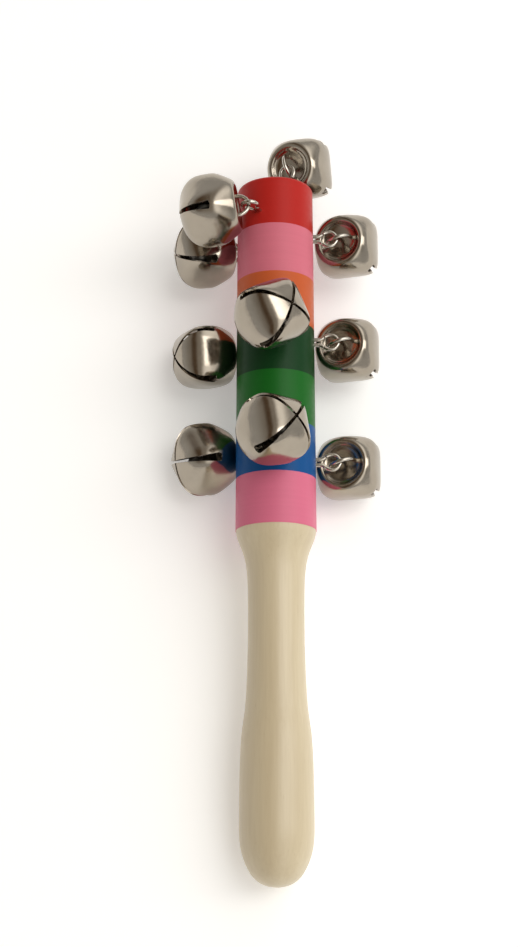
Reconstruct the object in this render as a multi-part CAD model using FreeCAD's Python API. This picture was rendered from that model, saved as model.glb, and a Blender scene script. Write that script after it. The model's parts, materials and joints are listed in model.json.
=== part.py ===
import FreeCAD, Part
import math
import os
from FreeCAD import Placement, Rotation, Vector

# A hand-held stick of jingle bells: one turned wooden stick with a painted head, and ten
# cross-slit sheet-steel bells that hang from wire staples driven into the head.
#
# The stick is drawn on the Y axis, with +Y towards the head and y = 0 where the paint ends.
# Azimuth is measured round the stick, from straight up (+Z) towards the right (+X).
# At the end the whole toy is laid on its side on the plane z = 0, resting on its grip and bells.
# Sizes are in millimetres and angles in degrees.

# ---- stick: a turned hardwood bar ----
BAND_WIDTH = 13.05
BAND_NAMES = ["pink_lower", "blue", "green", "dark_green", "orange", "pink_upper", "red"]
HEAD_BASE_RADIUS = 10.05
HEAD_END_RADIUS = 9.75
HEAD_EDGE_ROUND = 1.2
PAINT_THICKNESS = 0.10
SHOULDER_LENGTH = 15.5
NECK_RADIUS = 6.95
NECK_TO_GRIP = 56.0
GRIP_RADIUS = 8.95
BUTT_LENGTH = 14.0

# ---- staple: a wire eye whose two legs are pinched side by side and driven in the wood ----
STAPLE_WIRE = 1.0
STAPLE_EYE_WIDTH = 3.8
STAPLE_LEG_SPACING = 1.4
STAPLE_PINCH_HEIGHT = 0.8
STAPLE_PROUD = 6.6
STAPLE_DEPTH = 5.0

# ---- bell shell: pressed sheet steel closed to a four-petal bud ----
SHELL_LENGTH = 15.0
SHELL_FLATS = 15.8
SHELL_CORNERS = 18.6
SHELL_WALL = 0.45
CROWN_RIM_RADIUS = 6.0
CROWN_TO_WIDEST = 5.8
DISH_RADIUS = 5.2
DISH_DEPTH = 1.4
SLIT_LENGTH = 8.8
SLIT_WIDTH_MOUTH = 0.9
SLIT_WIDTH_END = 2.2
PETAL_TURN = 15

# ---- bail: the wire loop clinched through the crown ----
BAIL_WIRE = 1.0
BAIL_WIDTH = 7.3
BAIL_HEIGHT = 4.6
BAIL_TAIL = 1.3

# ---- pellet: the loose steel ball ----
PELLET_DIAMETER = 6.0
PELLET_CLEARANCE = 0.2

# ---- clearance between the two wires of a link ----
LINK_CLEARANCE = 0.35

# ---- rows of staples round the head, as azimuths ----
FRONT = -28
RIGHT = 88
LEFT = -140

# Each bell hangs as it lies on a table: its row, its distance from the paint's edge in bands,
# whether the staple's legs stand along or across the stick, the azimuth that its mouth points
# to, how far it leans towards the head, and how far it is twisted in its link.
BELLS = {
    "front_upper": (FRONT, 6.28, "across", -98, -7, 15),
    "front_middle": (FRONT, 3.75, "across", 37, 3, 13),
    "front_lower": (FRONT, 1.43, "across", 42, 11, -13),
    "right_upper": (RIGHT, 5.95, "along", 157, 6, -13),
    "right_middle": (RIGHT, 3.78, "along", 159, 2, -14),
    "right_lower": (RIGHT, 1.35, "along", 161, 3, -14),
    "left_upper": (LEFT, 6.05, "across", -74, -9, 0),
    "left_middle": (LEFT, 3.77, "across", -70, -6, -24),
    "left_lower": (LEFT, 1.72, "across", -66, -11, 20),
}
# The tenth bell hangs from the head's end, off its middle, and swings to one side of it.
END_STAPLE_PROUD = 7.6
END_STAPLE_OFFSET = 3.2
END_BELL_AZIMUTH = 152
END_BELL_SWING = 75
END_BELL_TWIST = -13

# ---- shape of the outlines: shares of the stretch that a point lies on, and end slopes ----
SHOULDER_ALONG = 0.32
SHOULDER_LEFT = 0.45
SHOULDER_SLOPE = 0.1
TAPER_ALONG = 0.50
TAPER_GROWN = 0.32
HAUNCH_ALONG = 0.66
HAUNCH_LEFT = 0.80
PETAL_FLARE = 0.7
PETAL_BEND_ALONG = 0.66
PETAL_BEND_LEFT = 0.80
CORNER_FLARE = 1.0
CORNER_CLOSE = 0.1
# How closely the resting height is measured.
HEIGHT_TOLERANCE = 0.05

# ---- derived sizes ----
HEAD_LENGTH = BAND_WIDTH * len(BAND_NAMES)
NECK_Y = -SHOULDER_LENGTH
GRIP_Y = NECK_Y - NECK_TO_GRIP
BUTT_Y = GRIP_Y - BUTT_LENGTH
STAPLE_RADIUS = STAPLE_WIRE / 2
STAPLE_ARCH = STAPLE_EYE_WIDTH / 2
BAIL_RADIUS = BAIL_WIRE / 2
BAIL_ARCH = BAIL_WIDTH / 2 - BAIL_RADIUS
BAIL_TOP = DISH_DEPTH - BAIL_HEIGHT + BAIL_RADIUS
LINK_PITCH = STAPLE_RADIUS + BAIL_RADIUS + LINK_CLEARANCE
# The pellet rolls in the largest ball that fits between the dish and the mouth.
CAVITY_TOP = DISH_DEPTH + SHELL_WALL + BAIL_TAIL / 2
CAVITY_RADIUS = min(SHELL_FLATS / 2, (SHELL_LENGTH - CAVITY_TOP) / 2) - 2 * SHELL_WALL
CAVITY_CENTRE = (SHELL_LENGTH + CAVITY_TOP) / 2 - SHELL_WALL
PELLET_REACH = CAVITY_RADIUS - PELLET_DIAMETER / 2 - PELLET_CLEARANCE

ORIGIN = Vector(0, 0, 0)
X_AXIS = Vector(1, 0, 0)
Y_AXIS = Vector(0, 1, 0)
Z_AXIS = Vector(0, 0, 1)


def line(start, end):
    return Part.LineSegment(start, end).toShape()


def arc(start, middle, end):
    return Part.Arc(start, middle, end).toShape()


def spline(points, start, end):
    curve = Part.BSplineCurve()
    curve.interpolate(Points=points, InitialTangent=start, FinalTangent=end)
    return curve.toShape()


def head_radius(y):
    """Radius over the paint at a place on the head, which tapers slightly to its end."""
    return HEAD_BASE_RADIUS + (HEAD_END_RADIUS - HEAD_BASE_RADIUS) * y / HEAD_LENGTH


def head_outline(cut_back):
    """Edges from the axis at the head's end to the head's base, set in from the paint."""
    end = HEAD_LENGTH - cut_back
    radius = HEAD_END_RADIUS - cut_back
    rounding = HEAD_EDGE_ROUND - cut_back
    inset = rounding * (1 - math.sqrt(0.5))
    centre = Vector(0, end, 0)
    flat_edge = Vector(radius - rounding, end, 0)
    corner = Vector(radius - inset, end - inset, 0)
    side_edge = Vector(radius, end - rounding, 0)
    base = Vector(HEAD_BASE_RADIUS - cut_back, 0, 0)
    return [line(centre, flat_edge), arc(flat_edge, corner, side_edge), line(side_edge, base)]


def turned(edges):
    """Solid of revolution about the Y axis from an outline that starts and ends on the axis."""
    first = edges[0].firstVertex().Point
    last = edges[-1].lastVertex().Point
    face = Part.Face(Part.Wire(edges + [line(last, first)]))
    return face.revolve(ORIGIN, Y_AXIS, 360)


def make_stick():
    """Head, shoulder, neck, swelling grip and rounded butt in one piece of wood."""
    base = Vector(HEAD_BASE_RADIUS - PAINT_THICKNESS, 0, 0)
    shoulder_radius = NECK_RADIUS + (HEAD_BASE_RADIUS - NECK_RADIUS) * SHOULDER_LEFT
    shoulder = Vector(shoulder_radius, NECK_Y * SHOULDER_ALONG, 0)
    neck = Vector(NECK_RADIUS, NECK_Y, 0)
    taper_radius = NECK_RADIUS + (GRIP_RADIUS - NECK_RADIUS) * TAPER_GROWN
    taper = Vector(taper_radius, NECK_Y - NECK_TO_GRIP * TAPER_ALONG, 0)
    grip = Vector(GRIP_RADIUS, GRIP_Y, 0)
    haunch = Vector(GRIP_RADIUS * HAUNCH_LEFT, GRIP_Y - BUTT_LENGTH * HAUNCH_ALONG, 0)
    butt = Vector(0, BUTT_Y, 0)
    points = [base, shoulder, neck, taper, grip]
    handle = spline(points, Vector(-SHOULDER_SLOPE, -1, 0), -Y_AXIS)
    end = spline([grip, haunch, butt], -Y_AXIS, -X_AXIS)
    return turned(head_outline(PAINT_THICKNESS) + [handle, end])


def make_paint(stick):
    """One thin coat for each band; the last one also covers the head's end."""
    foot = line(Vector(HEAD_BASE_RADIUS, 0, 0), ORIGIN)
    coat = turned(head_outline(0) + [foot]).cut(stick)
    bands = {}
    for place, name in enumerate(BAND_NAMES):
        start = Vector(0, place * BAND_WIDTH, 0)
        slab = Part.makeCylinder(2 * HEAD_BASE_RADIUS, BAND_WIDTH, start, Y_AXIS)
        bands["paint_" + name] = coat.common(slab)
    return bands


def wire_solid(edges, radius):
    """Round wire bent along a path of joined edges."""
    path = Part.Wire(edges)
    first = edges[0]
    normal = first.tangentAt(first.FirstParameter)
    ring = Part.Wire(Part.makeCircle(radius, first.firstVertex().Point, normal))
    return path.makePipeShell([ring], True, True)


def staple_solid():
    """Staple with its arch's centre line through the origin, legs down, spread along X."""
    wood = STAPLE_RADIUS - STAPLE_PROUD
    leg = STAPLE_LEG_SPACING / 2
    left_foot = Vector(-leg, 0, wood - STAPLE_DEPTH)
    left_pinch = Vector(-leg, 0, wood + STAPLE_PINCH_HEIGHT)
    left_spring = Vector(-STAPLE_ARCH, 0, -STAPLE_ARCH)
    right_spring = Vector(STAPLE_ARCH, 0, -STAPLE_ARCH)
    right_pinch = Vector(leg, 0, wood + STAPLE_PINCH_HEIGHT)
    right_foot = Vector(leg, 0, wood - STAPLE_DEPTH)
    opening = spline([left_pinch, left_spring], Z_AXIS, Z_AXIS)
    arch = arc(left_spring, ORIGIN, right_spring)
    closing = spline([right_spring, right_pinch], -Z_AXIS, -Z_AXIS)
    path = [line(left_foot, left_pinch), opening, arch, closing, line(right_pinch, right_foot)]
    return wire_solid(path, STAPLE_RADIUS)


def bud_outline(inset, rim, half):
    """Edge in XZ from the crown's rim over the widest place to the mouth, set in by a wall."""
    tip = SHELL_LENGTH - inset
    widest = Vector(half - inset, 0, CROWN_TO_WIDEST)
    bend_height = CROWN_TO_WIDEST + (tip - CROWN_TO_WIDEST) * PETAL_BEND_ALONG
    bend = Vector((half - inset) * PETAL_BEND_LEFT, 0, bend_height)
    points = [Vector(rim - inset, 0, inset), widest, bend, Vector(0, 0, tip)]
    return spline(points, Vector(PETAL_FLARE, 0, 1), -X_AXIS)


def bud(inset):
    """Rounded-square bud with its round crown rim at z = 0 and its mouth at +Z.

    Two petal curves drawn out square to each other make the flats and the mouth's low pyramid,
    and a round body trims the corners and the crown.
    """
    reach = SHELL_CORNERS
    right = bud_outline(inset, CROWN_RIM_RADIUS + SHELL_WALL, SHELL_FLATS / 2)
    left = right.mirror(ORIGIN, X_AXIS)
    foot = line(left.firstVertex().Point, right.firstVertex().Point)
    face = Part.Face(Part.Wire([right, left, foot]))
    face.translate(Y_AXIS * -reach)
    first = face.extrude(Y_AXIS * (2 * reach))
    second = first.copy()
    second.rotate(ORIGIN, Z_AXIS, 90)
    half = SHELL_CORNERS / 2
    widest = Vector(half - inset, 0, CROWN_TO_WIDEST)
    rim = Vector(CROWN_RIM_RADIUS - inset, 0, inset)
    end = Vector(half - inset - SHELL_WALL, 0, SHELL_LENGTH + SHELL_WALL)
    side = spline([rim, widest, end], Vector(CORNER_FLARE, 0, 1), Vector(-CORNER_CLOSE, 0, 1))
    top = Vector(0, 0, end.z)
    base = Vector(0, 0, inset)
    outline = Part.Wire([side, line(end, top), line(top, base), line(base, rim)])
    turned_body = Part.Face(outline).revolve(ORIGIN, Z_AXIS, 360)
    return first.common(second).common(turned_body)


def dish(inset):
    """Ball whose cap dents the crown; the inner one is larger by the wall."""
    radius = (DISH_RADIUS ** 2 + DISH_DEPTH ** 2) / (2 * DISH_DEPTH)
    return Part.makeSphere(radius + inset, Vector(0, 0, DISH_DEPTH - radius))


def slit_cutter(turn):
    """Tapered cutter through one diagonal, widest at its closed end on the bell's side."""
    start = SHELL_LENGTH - SLIT_LENGTH
    end = SHELL_LENGTH + SHELL_WALL
    wide = SLIT_WIDTH_END / 2
    narrow = SLIT_WIDTH_MOUTH / 2
    reach = SHELL_CORNERS
    corners = [(-wide, start), (wide, start), (narrow, end), (-narrow, end), (-wide, start)]
    outline = Part.makePolygon([Vector(x, -reach, z) for x, z in corners])
    cutter = Part.Face(outline).extrude(Y_AXIS * (2 * reach))
    cutter.rotate(ORIGIN, Z_AXIS, turn)
    return cutter


def bail_solid():
    """Wire loop in the XZ plane, its legs through the crown."""
    tail = DISH_DEPTH + SHELL_WALL + BAIL_TAIL
    spring = BAIL_TOP + BAIL_ARCH
    left_tail = Vector(-BAIL_ARCH, 0, tail)
    left_spring = Vector(-BAIL_ARCH, 0, spring)
    right_spring = Vector(BAIL_ARCH, 0, spring)
    right_tail = Vector(BAIL_ARCH, 0, tail)
    arch = arc(left_spring, Vector(0, 0, BAIL_TOP), right_spring)
    path = [line(left_tail, left_spring), arch, line(right_spring, right_tail)]
    return wire_solid(path, BAIL_RADIUS)


def make_shell(bail):
    """Hollow bud with a dished crown, two crossed slits and the bail's two holes."""
    inner = bud(SHELL_WALL).cut(dish(SHELL_WALL))
    shell = bud(0).cut(dish(0)).cut(inner)
    for diagonal in (45, 135):
        shell = shell.cut(slit_cutter(diagonal))
    shell.rotate(ORIGIN, Z_AXIS, PETAL_TURN)
    return shell.cut(bail)


def staple_placement(legs, row_turn, root, proud):
    """row_turn carries +Z to the staple's outward direction and Y to the hinge's axis."""
    outward = row_turn.multVec(Z_AXIS)
    spread = Rotation(Z_AXIS, 90) if legs == "along" else Rotation()
    return Placement(root + outward * (proud - STAPLE_RADIUS), row_turn.multiply(spread))


def swing_centre(legs, row_turn, root, proud):
    """A bail turns about the staple's arch, or where it lies along the hinge, about its own top."""
    below_arch = 0 if legs == "along" else LINK_PITCH
    return root + row_turn.multVec(Z_AXIS) * (proud - STAPLE_RADIUS - below_arch)


def bell_placement(legs, centre, hang_turn, lean, twist):
    """hang_turn carries +Z to where the mouth points and Y to the hinge's axis."""
    hook = BAIL_TOP + LINK_PITCH if legs == "along" else BAIL_TOP
    square = 0 if legs == "along" else 90
    own_turn = Rotation(X_AXIS, -lean).multiply(Rotation(Z_AXIS, square + twist))
    rotation = hang_turn.multiply(own_turn)
    return Placement(centre - rotation.multVec(Z_AXIS * hook), rotation)


def make_links():
    """Each bell's name with its staple's place, its swing's centre and axis, and its own place."""
    found = []
    for name, (row, bands, legs, mouth, lean, twist) in BELLS.items():
        station = bands * BAND_WIDTH
        row_turn = Rotation(Y_AXIS, row)
        root = row_turn.multVec(Z_AXIS) * head_radius(station) + Y_AXIS * station
        staple = staple_placement(legs, row_turn, root, STAPLE_PROUD)
        centre = swing_centre(legs, row_turn, root, STAPLE_PROUD)
        bell = bell_placement(legs, centre, Rotation(Y_AXIS, mouth), lean, twist)
        found.append((name, staple, centre, Y_AXIS, bell))
    side = Rotation(Y_AXIS, END_BELL_AZIMUTH).multVec(Z_AXIS)
    hinge = Y_AXIS.cross(side)
    end_turn = Rotation(hinge.cross(Y_AXIS), hinge, Y_AXIS, "ZYX")
    root = Vector(END_STAPLE_OFFSET, HEAD_LENGTH, 0)
    staple = staple_placement("along", end_turn, root, END_STAPLE_PROUD)
    centre = swing_centre("along", end_turn, root, END_STAPLE_PROUD)
    swung = Rotation(hinge, END_BELL_SWING).multiply(end_turn)
    bell = bell_placement("along", centre, swung, 0, END_BELL_TWIST)
    found.append(("end", staple, centre, hinge, bell))
    return found


def moved(shape, placement):
    copy = shape.copy()
    copy.Placement = placement.multiply(copy.Placement)
    return copy


def lowest(shapes, tilt):
    """Lowest height of some shapes once they are turned about X, from their surface points."""
    turn = Rotation(X_AXIS, tilt)
    heights = []
    for shape in shapes:
        heights += [turn.multVec(point).z for point in shape.tessellate(HEIGHT_TOLERANCE)[0]]
    return min(heights)


def resting_tilt(stick, shells):
    """Tilt at which the grip and the lowest bell reach down to the same plane."""
    tilt = 0.0
    step = 0.01
    for _ in range(4):
        gap = lowest(stick, tilt) - lowest(shells, tilt)
        slope = (lowest(stick, tilt + step) - lowest(shells, tilt + step) - gap) / step
        tilt -= gap / slope
    return tilt


def build():
    """All the pieces by name as they lie, and the joints' centres and axes in the same frame."""
    bail = bail_solid()
    shell = make_shell(bail)
    staple = staple_solid()
    whole_stick = make_stick()
    paint = make_paint(whole_stick)
    pieces = {}
    joints = {}
    placed_links = make_links()
    staples = Part.makeCompound([moved(staple, link[1]) for link in placed_links])
    pieces["stick"] = whole_stick.cut(staples)
    for name, coat in paint.items():
        pieces[name] = coat.cut(staples)
    for name, staple_place, centre, axis, bell in placed_links:
        pieces[name + "_staple"] = moved(staple, staple_place)
        pieces[name + "_shell"] = moved(shell, bell)
        pieces[name + "_bail"] = moved(bail, bell)
        joints[name] = (centre, axis, bell)

    shells = [piece for name, piece in pieces.items() if name.endswith("_shell")]
    lay = Placement(ORIGIN, Rotation(X_AXIS, resting_tilt([pieces["stick"]], shells)))
    for name in pieces:
        pieces[name] = moved(pieces[name], lay)
    # Each pellet lies at the bottom of its bell and can roll straight up to the far side.
    pellet = Part.makeSphere(PELLET_DIAMETER / 2)
    swings = {}
    rolls = {}
    for name, (centre, axis, bell) in joints.items():
        swings[name] = (lay.multVec(centre), lay.Rotation.multVec(axis))
        middle = lay.multVec(bell.multVec(Vector(0, 0, CAVITY_CENTRE)))
        low = middle - Z_AXIS * PELLET_REACH
        pieces[name + "_pellet"] = moved(pellet, Placement(low, Rotation()))
        rolls[name] = 2 * PELLET_REACH
    box = Part.makeCompound(list(pieces.values())).optimalBoundingBox(False)
    to_origin = Vector(-(box.XMin + box.XMax) / 2, -(box.YMin + box.YMax) / 2, -box.ZMin)
    for name in pieces:
        pieces[name] = moved(pieces[name], Placement(to_origin, Rotation()))
    for name in swings:
        swings[name] = (swings[name][0] + to_origin, swings[name][1])
    return pieces, swings, rolls


def main():
    pieces, swings, rolls = build()
    os.makedirs("parts", exist_ok=True)
    for name, piece in pieces.items():
        piece.exportStep("parts/" + name + ".step")
    return pieces, swings, rolls


if __name__ == "__main__":
    main()
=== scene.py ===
import json
import math

import bmesh
import bpy
from mathutils import Matrix, Vector
from mathutils.geometry import interpolate_bezier


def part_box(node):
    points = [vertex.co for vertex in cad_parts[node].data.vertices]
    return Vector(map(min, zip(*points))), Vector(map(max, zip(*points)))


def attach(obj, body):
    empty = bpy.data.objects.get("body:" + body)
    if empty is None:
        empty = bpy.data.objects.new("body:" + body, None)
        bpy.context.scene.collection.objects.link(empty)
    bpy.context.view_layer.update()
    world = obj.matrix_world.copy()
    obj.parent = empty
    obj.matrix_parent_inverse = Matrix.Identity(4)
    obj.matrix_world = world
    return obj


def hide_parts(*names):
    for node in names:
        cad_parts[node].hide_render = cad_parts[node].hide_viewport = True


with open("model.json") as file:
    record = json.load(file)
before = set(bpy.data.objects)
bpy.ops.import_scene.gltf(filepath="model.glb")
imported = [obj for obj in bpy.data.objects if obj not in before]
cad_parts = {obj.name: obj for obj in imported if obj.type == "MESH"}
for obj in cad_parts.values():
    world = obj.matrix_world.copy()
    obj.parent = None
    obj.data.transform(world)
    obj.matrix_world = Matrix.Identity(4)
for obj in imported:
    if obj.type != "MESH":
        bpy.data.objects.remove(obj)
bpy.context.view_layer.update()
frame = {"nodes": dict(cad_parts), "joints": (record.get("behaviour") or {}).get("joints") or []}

# A toy stick of jingle bells: a turned wooden handle, a head painted in seven bands, and ten
# nickel-plated bells that hang on wire loops from wire staples.
# Lengths are written in millimetres and turned into metres by MM.
MM = 0.001

BELL_NAMES = [
    "front_upper", "front_middle", "front_lower",
    "right_upper", "right_middle", "right_lower",
    "left_upper", "left_middle", "left_lower", "end",
]

X_AXIS = Vector((1, 0, 0))
Y_AXIS = Vector((0, 1, 0))
Z_AXIS = Vector((0, 0, 1))


# ---- the stick's own frame: y = 0 at the paint's edge, +Y along the stick to its head ----

# The blue band is the second from the paint's edge, so its middle is one and a half bands up.
BLUE_MIDDLE_BANDS = 1.5


def middle_of(node):
    low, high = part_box(node)
    return (low + high) / 2


def stick_frame():
    """Matrix from the stick's own frame to the row frame."""
    hinge = next(joint for joint in frame["joints"] if joint["name"] == "front_lower_swing")
    along = Vector(hinge["axis"]).normalized()
    band = (middle_of("paint_green") - middle_of("paint_blue")).dot(along)
    edge = middle_of("paint_blue") - along * band * BLUE_MIDDLE_BANDS
    above = X_AXIS.cross(along)
    turn = Matrix((X_AXIS, along, above)).transposed().to_4x4()
    return Matrix.Translation(edge) @ turn


STICK = stick_frame()

# ---- camera ----
CAMERA_PLACE = Vector((-3.96, -95.8, 404.5)) * MM
CAMERA_TILT = 15.3
LENS = 63.9


def make_camera():
    data = bpy.data.cameras.new("camera")
    data.lens = LENS
    camera = bpy.data.objects.new("camera", data)
    bpy.context.scene.collection.objects.link(camera)
    tilt = Matrix.Rotation(math.radians(CAMERA_TILT), 4, "X")
    camera.matrix_world = STICK @ Matrix.Translation(CAMERA_PLACE) @ tilt
    bpy.context.scene.camera = camera


make_camera()


# ---- shader helpers ----

def noise(tree, place, scale, detail, roughness=0.5):
    texture = tree.nodes.new("ShaderNodeTexNoise")
    texture.inputs["Scale"].default_value = scale
    texture.inputs["Detail"].default_value = detail
    texture.inputs["Roughness"].default_value = roughness
    tree.links.new(place, texture.inputs["Vector"])
    return texture.outputs["Fac"]


def ramp_of(tree, value, stops):
    """Colour ramp with (position, colour) stops."""
    ramp = tree.nodes.new("ShaderNodeValToRGB")
    elements = ramp.color_ramp.elements
    while len(elements) < len(stops):
        elements.new(0.5)
    for element, (position, colour) in zip(elements, stops):
        element.position = position
        element.color = (*colour, 1)
    tree.links.new(value, ramp.inputs["Fac"])
    return ramp.outputs["Color"]


def mapped(tree, value, low, high, to_low, to_high):
    node = tree.nodes.new("ShaderNodeMapRange")
    node.inputs["From Min"].default_value = low
    node.inputs["From Max"].default_value = high
    node.inputs["To Min"].default_value = to_low
    node.inputs["To Max"].default_value = to_high
    tree.links.new(value, node.inputs["Value"])
    return node.outputs["Result"]


def mixed(tree, kind, share, first, second):
    """Colour mix; share, first and second are sockets, numbers or colours."""
    node = tree.nodes.new("ShaderNodeMix")
    node.data_type = "RGBA"
    node.blend_type = kind
    for socket, value in (("Factor", share), ("A", first), ("B", second)):
        names = [item for item in node.inputs if item.name == socket and item.enabled]
        if isinstance(value, bpy.types.NodeSocket):
            tree.links.new(value, names[0])
        else:
            names[0].default_value = value
    return next(item for item in node.outputs if item.enabled)


# ---- floor and light ----
FLOOR_SIZE = 6.0
FLOOR_GLOW = 0.28
FLOOR_WHITE = (0.93, 0.93, 0.92, 1)
SKY_STRENGTH = 0.62
# Height of direction over which the stripes fade in above the pale horizon.
STRIPES_FADE = (0.20, 0.50)
SKY_PALE = (0.90, 0.89, 0.87, 1)
SKY_STRIPES = [
    (0.04, (0.72, 0.70, 0.66)), (0.16, (0.55, 0.50, 0.44)), (0.25, (0.19, 0.12, 0.068)),
    (0.34, (0.22, 0.145, 0.085)), (0.42, (0.62, 0.56, 0.49)), (0.52, (0.60, 0.54, 0.47)),
    (0.64, (2.5, 2.45, 2.35)), (0.75, (2.5, 2.45, 2.35)), (0.90, (0.56, 0.53, 0.48)),
]


def node_tree(owner):
    owner.use_nodes = True
    owner.node_tree.nodes.clear()
    return owner.node_tree


def make_floor():
    mesh = bpy.data.meshes.new("floor")
    bm = bmesh.new()
    bmesh.ops.create_grid(bm, x_segments=1, y_segments=1, size=FLOOR_SIZE / 2)
    bm.to_mesh(mesh)
    bm.free()
    floor = bpy.data.objects.new("floor", mesh)
    bpy.context.scene.collection.objects.link(floor)
    material = bpy.data.materials.new("white_paper")
    tree = node_tree(material)
    shader = tree.nodes.new("ShaderNodeBsdfPrincipled")
    shader.inputs["Base Color"].default_value = FLOOR_WHITE
    shader.inputs["Roughness"].default_value = 0.9
    shader.inputs["Specular IOR Level"].default_value = 0.1
    shader.inputs["Emission Color"].default_value = (1, 1, 1, 1)
    shader.inputs["Emission Strength"].default_value = FLOOR_GLOW
    output = tree.nodes.new("ShaderNodeOutputMaterial")
    tree.links.new(shader.outputs["BSDF"], output.inputs["Surface"])
    mesh.materials.append(material)


def make_sky():
    """Pale near the horizon; overhead, long soft stripes for the plate to mirror."""
    world = bpy.data.worlds.new("studio")
    bpy.context.scene.world = world
    tree = node_tree(world)
    place = tree.nodes.new("ShaderNodeTexCoord")
    split = tree.nodes.new("ShaderNodeSeparateXYZ")
    tree.links.new(place.outputs["Generated"], split.inputs["Vector"])
    across = mapped(tree, split.outputs["X"], -1, 1, 0, 1)
    stripes = ramp_of(tree, across, SKY_STRIPES)
    overhead = mapped(tree, split.outputs["Z"], *STRIPES_FADE, 0, 1)
    colour = mixed(tree, "MIX", overhead, SKY_PALE, stripes)
    back = tree.nodes.new("ShaderNodeBackground")
    back.inputs["Strength"].default_value = SKY_STRENGTH
    output = tree.nodes.new("ShaderNodeOutputWorld")
    tree.links.new(colour, back.inputs["Color"])
    tree.links.new(back.outputs["Background"], output.inputs["Surface"])


def make_lamp(name, place, wide, deep, power, colour):
    """Softbox that faces the middle of the toy."""
    data = bpy.data.lights.new(name, "AREA")
    data.shape = "RECTANGLE"
    data.size = wide
    data.size_y = deep
    data.energy = power
    data.color = colour
    lamp = bpy.data.objects.new(name, data)
    bpy.context.scene.collection.objects.link(lamp)
    lamp.location = place
    lamp.rotation_euler = (-Vector(place)).to_track_quat("-Z", "Y").to_euler()


make_floor()
make_sky()
make_lamp("key_softbox", (0.72, 0.10, 0.95), 0.5, 1.3, 5, (1.0, 0.985, 0.96))


# ---- materials ----

def new_surface(name):
    """Material with a Principled shader, and its tree, shader and Object coordinates."""
    material = bpy.data.materials.new(name)
    tree = node_tree(material)
    shader = tree.nodes.new("ShaderNodeBsdfPrincipled")
    output = tree.nodes.new("ShaderNodeOutputMaterial")
    tree.links.new(shader.outputs["BSDF"], output.inputs["Surface"])
    place = tree.nodes.new("ShaderNodeTexCoord")
    return material, tree, shader, place.outputs["Object"]


def stick_coordinates(tree, place, stretch):
    """Coordinates in the stick's own frame, in millimetres, stretched along each axis."""
    turn = tree.nodes.new("ShaderNodeMapping")
    turn.vector_type = "TEXTURE"
    turn.inputs["Location"].default_value = STICK.to_translation()
    turn.inputs["Rotation"].default_value = STICK.to_euler()
    scale = tree.nodes.new("ShaderNodeMapping")
    scale.inputs["Scale"].default_value = [share / MM for share in stretch]
    tree.links.new(place, turn.inputs["Vector"])
    tree.links.new(turn.outputs["Vector"], scale.inputs["Vector"])
    return scale.outputs["Vector"]


def bump(tree, height, distance):
    node = tree.nodes.new("ShaderNodeBump")
    node.inputs["Strength"].default_value = 1.0
    node.inputs["Distance"].default_value = distance
    tree.links.new(height, node.inputs["Height"])
    return node.outputs["Normal"]


def make_plate(name, colour, roughness):
    """Bright nickel plate: faint cloudiness, fine polishing marks, a slightly uneven gloss."""
    material, tree, shader, place = new_surface(name)
    cloud = noise(tree, place, 260, 4)
    tone = ramp_of(tree, cloud, [(0.30, [c * 0.90 for c in colour]), (0.70, colour)])
    tree.links.new(tone, shader.inputs["Base Color"])
    shader.inputs["Metallic"].default_value = 1.0
    fine = noise(tree, place, 1500, 3)
    gloss = mapped(tree, fine, 0.3, 0.7, roughness * 0.8, roughness * 1.25)
    tree.links.new(gloss, shader.inputs["Roughness"])
    wave = noise(tree, place, 420, 2)
    tree.links.new(bump(tree, wave, 0.03 * MM), shader.inputs["Normal"])
    return material


def make_paint(name, colour):
    """Semi-gloss enamel: brushed round the stick, thin in places, with a little orange peel."""
    material, tree, shader, place = new_surface(name)
    lathe = stick_coordinates(tree, place, (0.03, 1.1, 0.03))
    strokes = noise(tree, lathe, 1.0, 3)
    dark = [c * 0.97 for c in colour]
    tone = ramp_of(tree, strokes, [(0.30, dark), (0.72, colour)])
    tree.links.new(tone, shader.inputs["Base Color"])
    peel = noise(tree, place, 900, 3)
    gloss = mapped(tree, peel, 0.3, 0.7, 0.36, 0.46)
    tree.links.new(gloss, shader.inputs["Roughness"])
    shader.inputs["Specular IOR Level"].default_value = 0.14
    shader.inputs["Coat Weight"].default_value = 0.04
    shader.inputs["Coat Roughness"].default_value = 0.16
    height = mixed(tree, "MIX", 0.5, strokes, peel)
    tree.links.new(bump(tree, height, 0.012 * MM), shader.inputs["Normal"])
    return material


def make_wood():
    """Pale hardwood under satin lacquer, its grain along the stick, with short fine pores."""
    material, tree, shader, place = new_surface("lacquered_wood")
    broad = noise(tree, stick_coordinates(tree, place, (0.16, 0.010, 0.16)), 1.0, 4, 0.55)
    fine = noise(tree, stick_coordinates(tree, place, (1.6, 0.05, 1.6)), 1.0, 3, 0.6)
    pores = noise(tree, stick_coordinates(tree, place, (3.2, 0.22, 3.2)), 1.0, 2, 0.5)
    body = ramp_of(tree, broad, [(0.30, (0.60, 0.50, 0.33)), (0.70, (0.68, 0.585, 0.405))])
    streak = ramp_of(tree, fine, [(0.30, (0.94, 0.925, 0.90)), (0.65, (1.0, 1.0, 1.0))])
    pore = ramp_of(tree, pores, [(0.24, (0.90, 0.87, 0.82)), (0.34, (1.0, 1.0, 1.0))])
    toned = mixed(tree, "MULTIPLY", 0.7, body, streak)
    tree.links.new(mixed(tree, "MULTIPLY", 0.7, toned, pore), shader.inputs["Base Color"])
    gloss = mapped(tree, fine, 0.3, 0.7, 0.42, 0.34)
    tree.links.new(gloss, shader.inputs["Roughness"])
    shader.inputs["Coat Weight"].default_value = 0.25
    shader.inputs["Coat Roughness"].default_value = 0.28
    tree.links.new(bump(tree, fine, 0.02 * MM), shader.inputs["Normal"])
    return material


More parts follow.
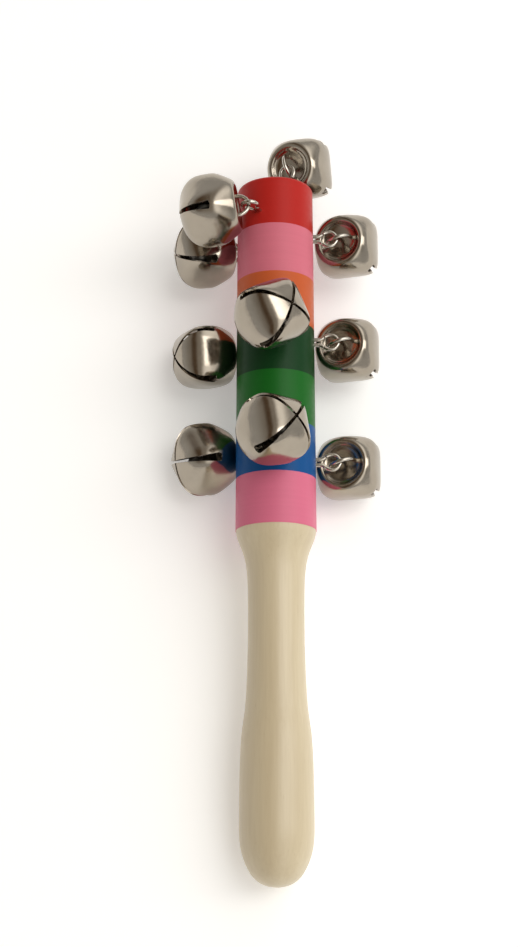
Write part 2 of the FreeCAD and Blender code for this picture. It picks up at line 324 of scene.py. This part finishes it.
PAINTS = {
    "red": (0.47, 0.019, 0.014),
    "pink_upper": (0.66, 0.17, 0.23),
    "orange": (0.56, 0.11, 0.032),
    "dark_green": (0.004, 0.042, 0.009),
    "green": (0.008, 0.125, 0.012),
    "blue": (0.004, 0.080, 0.27),
    "pink_lower": (0.70, 0.17, 0.27),
}
NICKEL = (0.39, 0.345, 0.285)

plate = make_plate("nickel_plate", NICKEL, 0.17)
wire_plate = make_plate("plated_wire", (0.55, 0.51, 0.45), 0.18)
ball_steel = make_plate("tumbled_steel", (0.30, 0.28, 0.25), 0.38)
wood = make_wood()
paints = {name: make_paint("paint_" + name, colour) for name, colour in PAINTS.items()}


# ---- a bell's own frame: crown rim at z = 0, mouth at +Z, loop in the XZ plane ----
SHELL_LENGTH = 15.0
SHELL_FLATS = 15.8
SHELL_CORNERS = 18.6
SHELL_WALL = 0.45
WIDEST_AT = 5.8
CORNER_SWELL = 0.07
SLIT_START = 6.2
SLIT_END_WIDTH = 2.5
SLIT_MOUTH_WIDTH = 0.8
SLIT_CORNER = 0.8
PETAL_TURN = 15
EDGE_ROUNDING = 0.09
SHARP_ANGLE = 50
SEAM_GAP = 0.004
# The wire loop: its arch springs from the dish and its legs pass through the crown.
BAIL_WIRE = 1.0
BAIL_ARCH = 3.15
BAIL_SPRING = 0.45
BAIL_LEG = 2.7
WIRE_SIDES = 20
ARCH_STEPS = 28


def triangles_of(node):
    """Area and middle of each triangle of a CAD node."""
    mesh = frame["nodes"][node].data
    return [(face.area, Vector(face.center)) for face in mesh.polygons]


def surface_middle(parts):
    total = sum(area for area, _ in parts)
    return sum((middle * area for area, middle in parts), Vector()) / total


def bell_frame(name):
    """Matrix from a bell's own frame to the row frame, read from its shell and its loop."""
    shell = triangles_of(name + "_shell")
    loop = triangles_of(name + "_bail")
    loop_middle = surface_middle(loop)
    mouth = (surface_middle(shell) - loop_middle).normalized()
    first = mouth.orthogonal().normalized()
    second = mouth.cross(first)
    spread_first = spread_second = spread_both = 0.0
    for area, middle in loop:
        one = (middle - loop_middle).dot(first)
        two = (middle - loop_middle).dot(second)
        spread_first += area * one * one
        spread_second += area * two * two
        spread_both += area * one * two
    angle = 0.5 * math.atan2(2 * spread_both, spread_first - spread_second)
    across = first * math.cos(angle) + second * math.sin(angle)
    rim = min(Vector(v.co).dot(mouth) for v in frame["nodes"][name + "_shell"].data.vertices)
    origin = loop_middle + mouth * (rim - loop_middle.dot(mouth))
    turn = Matrix((across, mouth.cross(across), mouth)).transposed().to_4x4()
    return Matrix.Translation(origin) @ turn


def smooth_step(low, high, value):
    share = min(max((value - low) / (high - low), 0), 1)
    return share * share * (3 - 2 * share)


# Outline over a flat, as half-width and height: the dish, its rolled rim, the cup and a petal.
DISH = [(0, 1.4), (2.8, 1.4), (4.2, 1.15), (4.8, 0.6)]
RIM = [(4.8, 0.6), (5.15, 0.2), (5.4, 0.0), (5.8, 0.0)]
CUP = [(5.8, 0.0), (7.0, 0.0), (7.9, 2.3), (7.9, 5.8)]
PETAL = [(7.9, 5.8), (8.0, 11.0), (6.0, 14.6), (0.6, 15.0)]
PETAL_COLUMNS = 24
PETAL_ROWS = 44
# The crown's curves, each with its number of rows.
CROWN_CURVES = ((DISH, 10), (RIM, 8), (CUP, 16))
# Above 1, the rows crowd towards the petal's root.
ROW_CROWDING = 1.45


def outline():
    """Points down the middle of a petal; they stand closer together where the slits begin."""
    rows = []
    for curve, steps in CROWN_CURVES:
        knots = [Vector((x, 0, z)) for x, z in curve]
        rows += interpolate_bezier(*knots, steps + 1)[:-1]
    start, leave, arrive, tip = [Vector((x, 0, z)) for x, z in PETAL]
    for step in range(PETAL_ROWS + 1):
        t = (step / PETAL_ROWS) ** ROW_CROWDING
        s = 1 - t
        rows.append(start * s ** 3 + leave * 3 * s * s * t + arrive * 3 * s * t * t + tip * t ** 3)
    return rows


def squareness(height):
    """How much further a corner is from the middle than a flat is."""
    full = SHELL_CORNERS / SHELL_FLATS
    grown = 1 + (full - 1) * smooth_step(0.3, WIDEST_AT, height)
    return grown + CORNER_SWELL * smooth_step(WIDEST_AT, 0.8 * SHELL_LENGTH, height)


def slit_half_width(height):
    """A squared-off closed end that narrows steadily to the mouth."""
    if height <= SLIT_START:
        return 0.0
    share = (height - SLIT_START) / (SHELL_LENGTH - SLIT_START)
    open_width = SLIT_END_WIDTH + (SLIT_MOUTH_WIDTH - SLIT_END_WIDTH) * share ** 0.8
    corner = min((height - SLIT_START) / SLIT_CORNER, 1)
    return open_width / 2 * (1 - (1 - corner) ** 3) ** (1 / 3)


def petal_point(row, across):
    """Place on the bell from a point of the outline and a share from one slit to the next."""
    flat, height = row.x, row.z
    power = 1 / (0.5 - math.log2(squareness(height)))
    corner = flat * 2 ** (0.5 - 1 / power)
    closed = math.asin(min(slit_half_width(height) / max(corner, 1e-6), 0.7))
    angle = across * (math.pi / 4 - closed)
    side, ahead = abs(math.sin(angle)), abs(math.cos(angle))
    radius = flat * (side ** power + ahead ** power) ** (-1 / power)
    return Vector((radius * math.cos(angle), radius * math.sin(angle), height))


def shell_mesh():
    """One petal shaped from a grid, repeated round the bell and joined at the cup."""
    rows = outline()
    bm = bmesh.new()
    bmesh.ops.create_grid(bm, x_segments=PETAL_COLUMNS, y_segments=len(rows) - 1, size=1)
    for vert in bm.verts:
        row = rows[round((vert.co.y + 1) / 2 * (len(rows) - 1))]
        vert.co = petal_point(row, vert.co.x)
    bmesh.ops.spin(
        bm, geom=bm.faces[:] + bm.edges[:] + bm.verts[:], cent=(0, 0, 0), axis=Z_AXIS,
        angle=math.radians(270), steps=3, use_duplicate=True,
    )
    bmesh.ops.remove_doubles(bm, verts=bm.verts, dist=SEAM_GAP)
    turn = Matrix.Rotation(math.radians(PETAL_TURN), 3, "Z")
    bmesh.ops.rotate(bm, verts=bm.verts, matrix=turn)
    bmesh.ops.recalc_face_normals(bm, faces=bm.faces)
    for face in bm.faces:
        face.smooth = True
    mesh = bpy.data.meshes.new("shell")
    bm.to_mesh(mesh)
    bm.free()
    return mesh


def loop_mesh(name, arch, leg, wire):
    """Round wire bent to a U: arch centred on the origin and rising to +Z, legs down -Z."""
    bm = bmesh.new()
    ring = bmesh.ops.create_circle(bm, segments=WIRE_SIDES, radius=wire / 2)["verts"]
    bmesh.ops.translate(bm, verts=ring, vec=(arch, 0, -leg))
    foot = bm.edges[:]
    bmesh.ops.contextual_create(bm, geom=foot)
    grown = bmesh.ops.extrude_edge_only(bm, edges=foot)["geom"]
    verts = [item for item in grown if isinstance(item, bmesh.types.BMVert)]
    bmesh.ops.translate(bm, verts=verts, vec=(0, 0, leg))
    top = [item for item in grown if isinstance(item, bmesh.types.BMEdge)]
    top = [edge for edge in top if all(vert in verts for vert in edge.verts)]
    turned = bmesh.ops.spin(
        bm, geom=top + verts, cent=(0, 0, 0), axis=-Y_AXIS, angle=math.pi, steps=ARCH_STEPS,
    )["geom_last"]
    last = [item for item in turned if isinstance(item, bmesh.types.BMEdge)]
    grown = bmesh.ops.extrude_edge_only(bm, edges=last)["geom"]
    verts = [item for item in grown if isinstance(item, bmesh.types.BMVert)]
    bmesh.ops.translate(bm, verts=verts, vec=(0, 0, -leg))
    end = [item for item in grown if isinstance(item, bmesh.types.BMEdge)]
    bmesh.ops.contextual_create(bm, geom=[e for e in end if all(v in verts for v in e.verts)])
    bmesh.ops.recalc_face_normals(bm, faces=bm.faces)
    for face in bm.faces:
        face.smooth = len(face.verts) == 4
    mesh = bpy.data.meshes.new(name)
    bm.to_mesh(mesh)
    bm.free()
    return mesh


def place_piece(name, source, matrix, material, body, node):
    """Copy of a millimetre mesh set in place, standing for one CAD node."""
    mesh = source.copy()
    mesh.name = name
    mesh.transform(matrix @ Matrix.Scale(MM, 4))
    mesh.materials.append(material)
    piece = bpy.data.objects.new(name, mesh)
    bpy.context.scene.collection.objects.link(piece)
    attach(piece, body)
    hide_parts(node)
    return piece


shell_source = shell_mesh()
bail_source = loop_mesh("bail", BAIL_ARCH, BAIL_LEG, BAIL_WIRE)


def add_wall(shell):
    """The sheet's thickness, inwards, with its cut edges slightly rounded."""
    wall = shell.modifiers.new("wall", "SOLIDIFY")
    wall.thickness = SHELL_WALL * MM
    wall.offset = -1
    wall.use_even_offset = True
    edge = shell.modifiers.new("edge", "BEVEL")
    edge.width = EDGE_ROUNDING * MM
    edge.segments = 2
    edge.limit_method = "ANGLE"
    edge.angle_limit = math.radians(SHARP_ANGLE)
    edge.harden_normals = True


for name in BELL_NAMES:
    own = bell_frame(name)
    body = name + "_bell"
    shell = place_piece(
        name + "_bell_shell", shell_source, own, plate, body, name + "_shell"
    )
    add_wall(shell)
    spring = Matrix.Translation(Vector((0, 0, BAIL_SPRING)) * MM)
    flip = spring @ Matrix.Rotation(math.pi, 4, "X")
    place_piece(
        name + "_loop", bail_source, own @ flip, wire_plate, body, name + "_bail"
    )

# ---- the remaining CAD pieces keep their shape and take their finish ----
for name, node in frame["nodes"].items():
    if name == "stick":
        finish = wood
    elif name.startswith("paint_"):
        finish = paints[name.removeprefix("paint_")]
    elif name.endswith("_pellet"):
        finish = ball_steel
    else:
        finish = wire_plate
    node.data.materials.clear()
    node.data.materials.append(finish)

bpy.context.scene.view_settings.view_transform = "Standard"
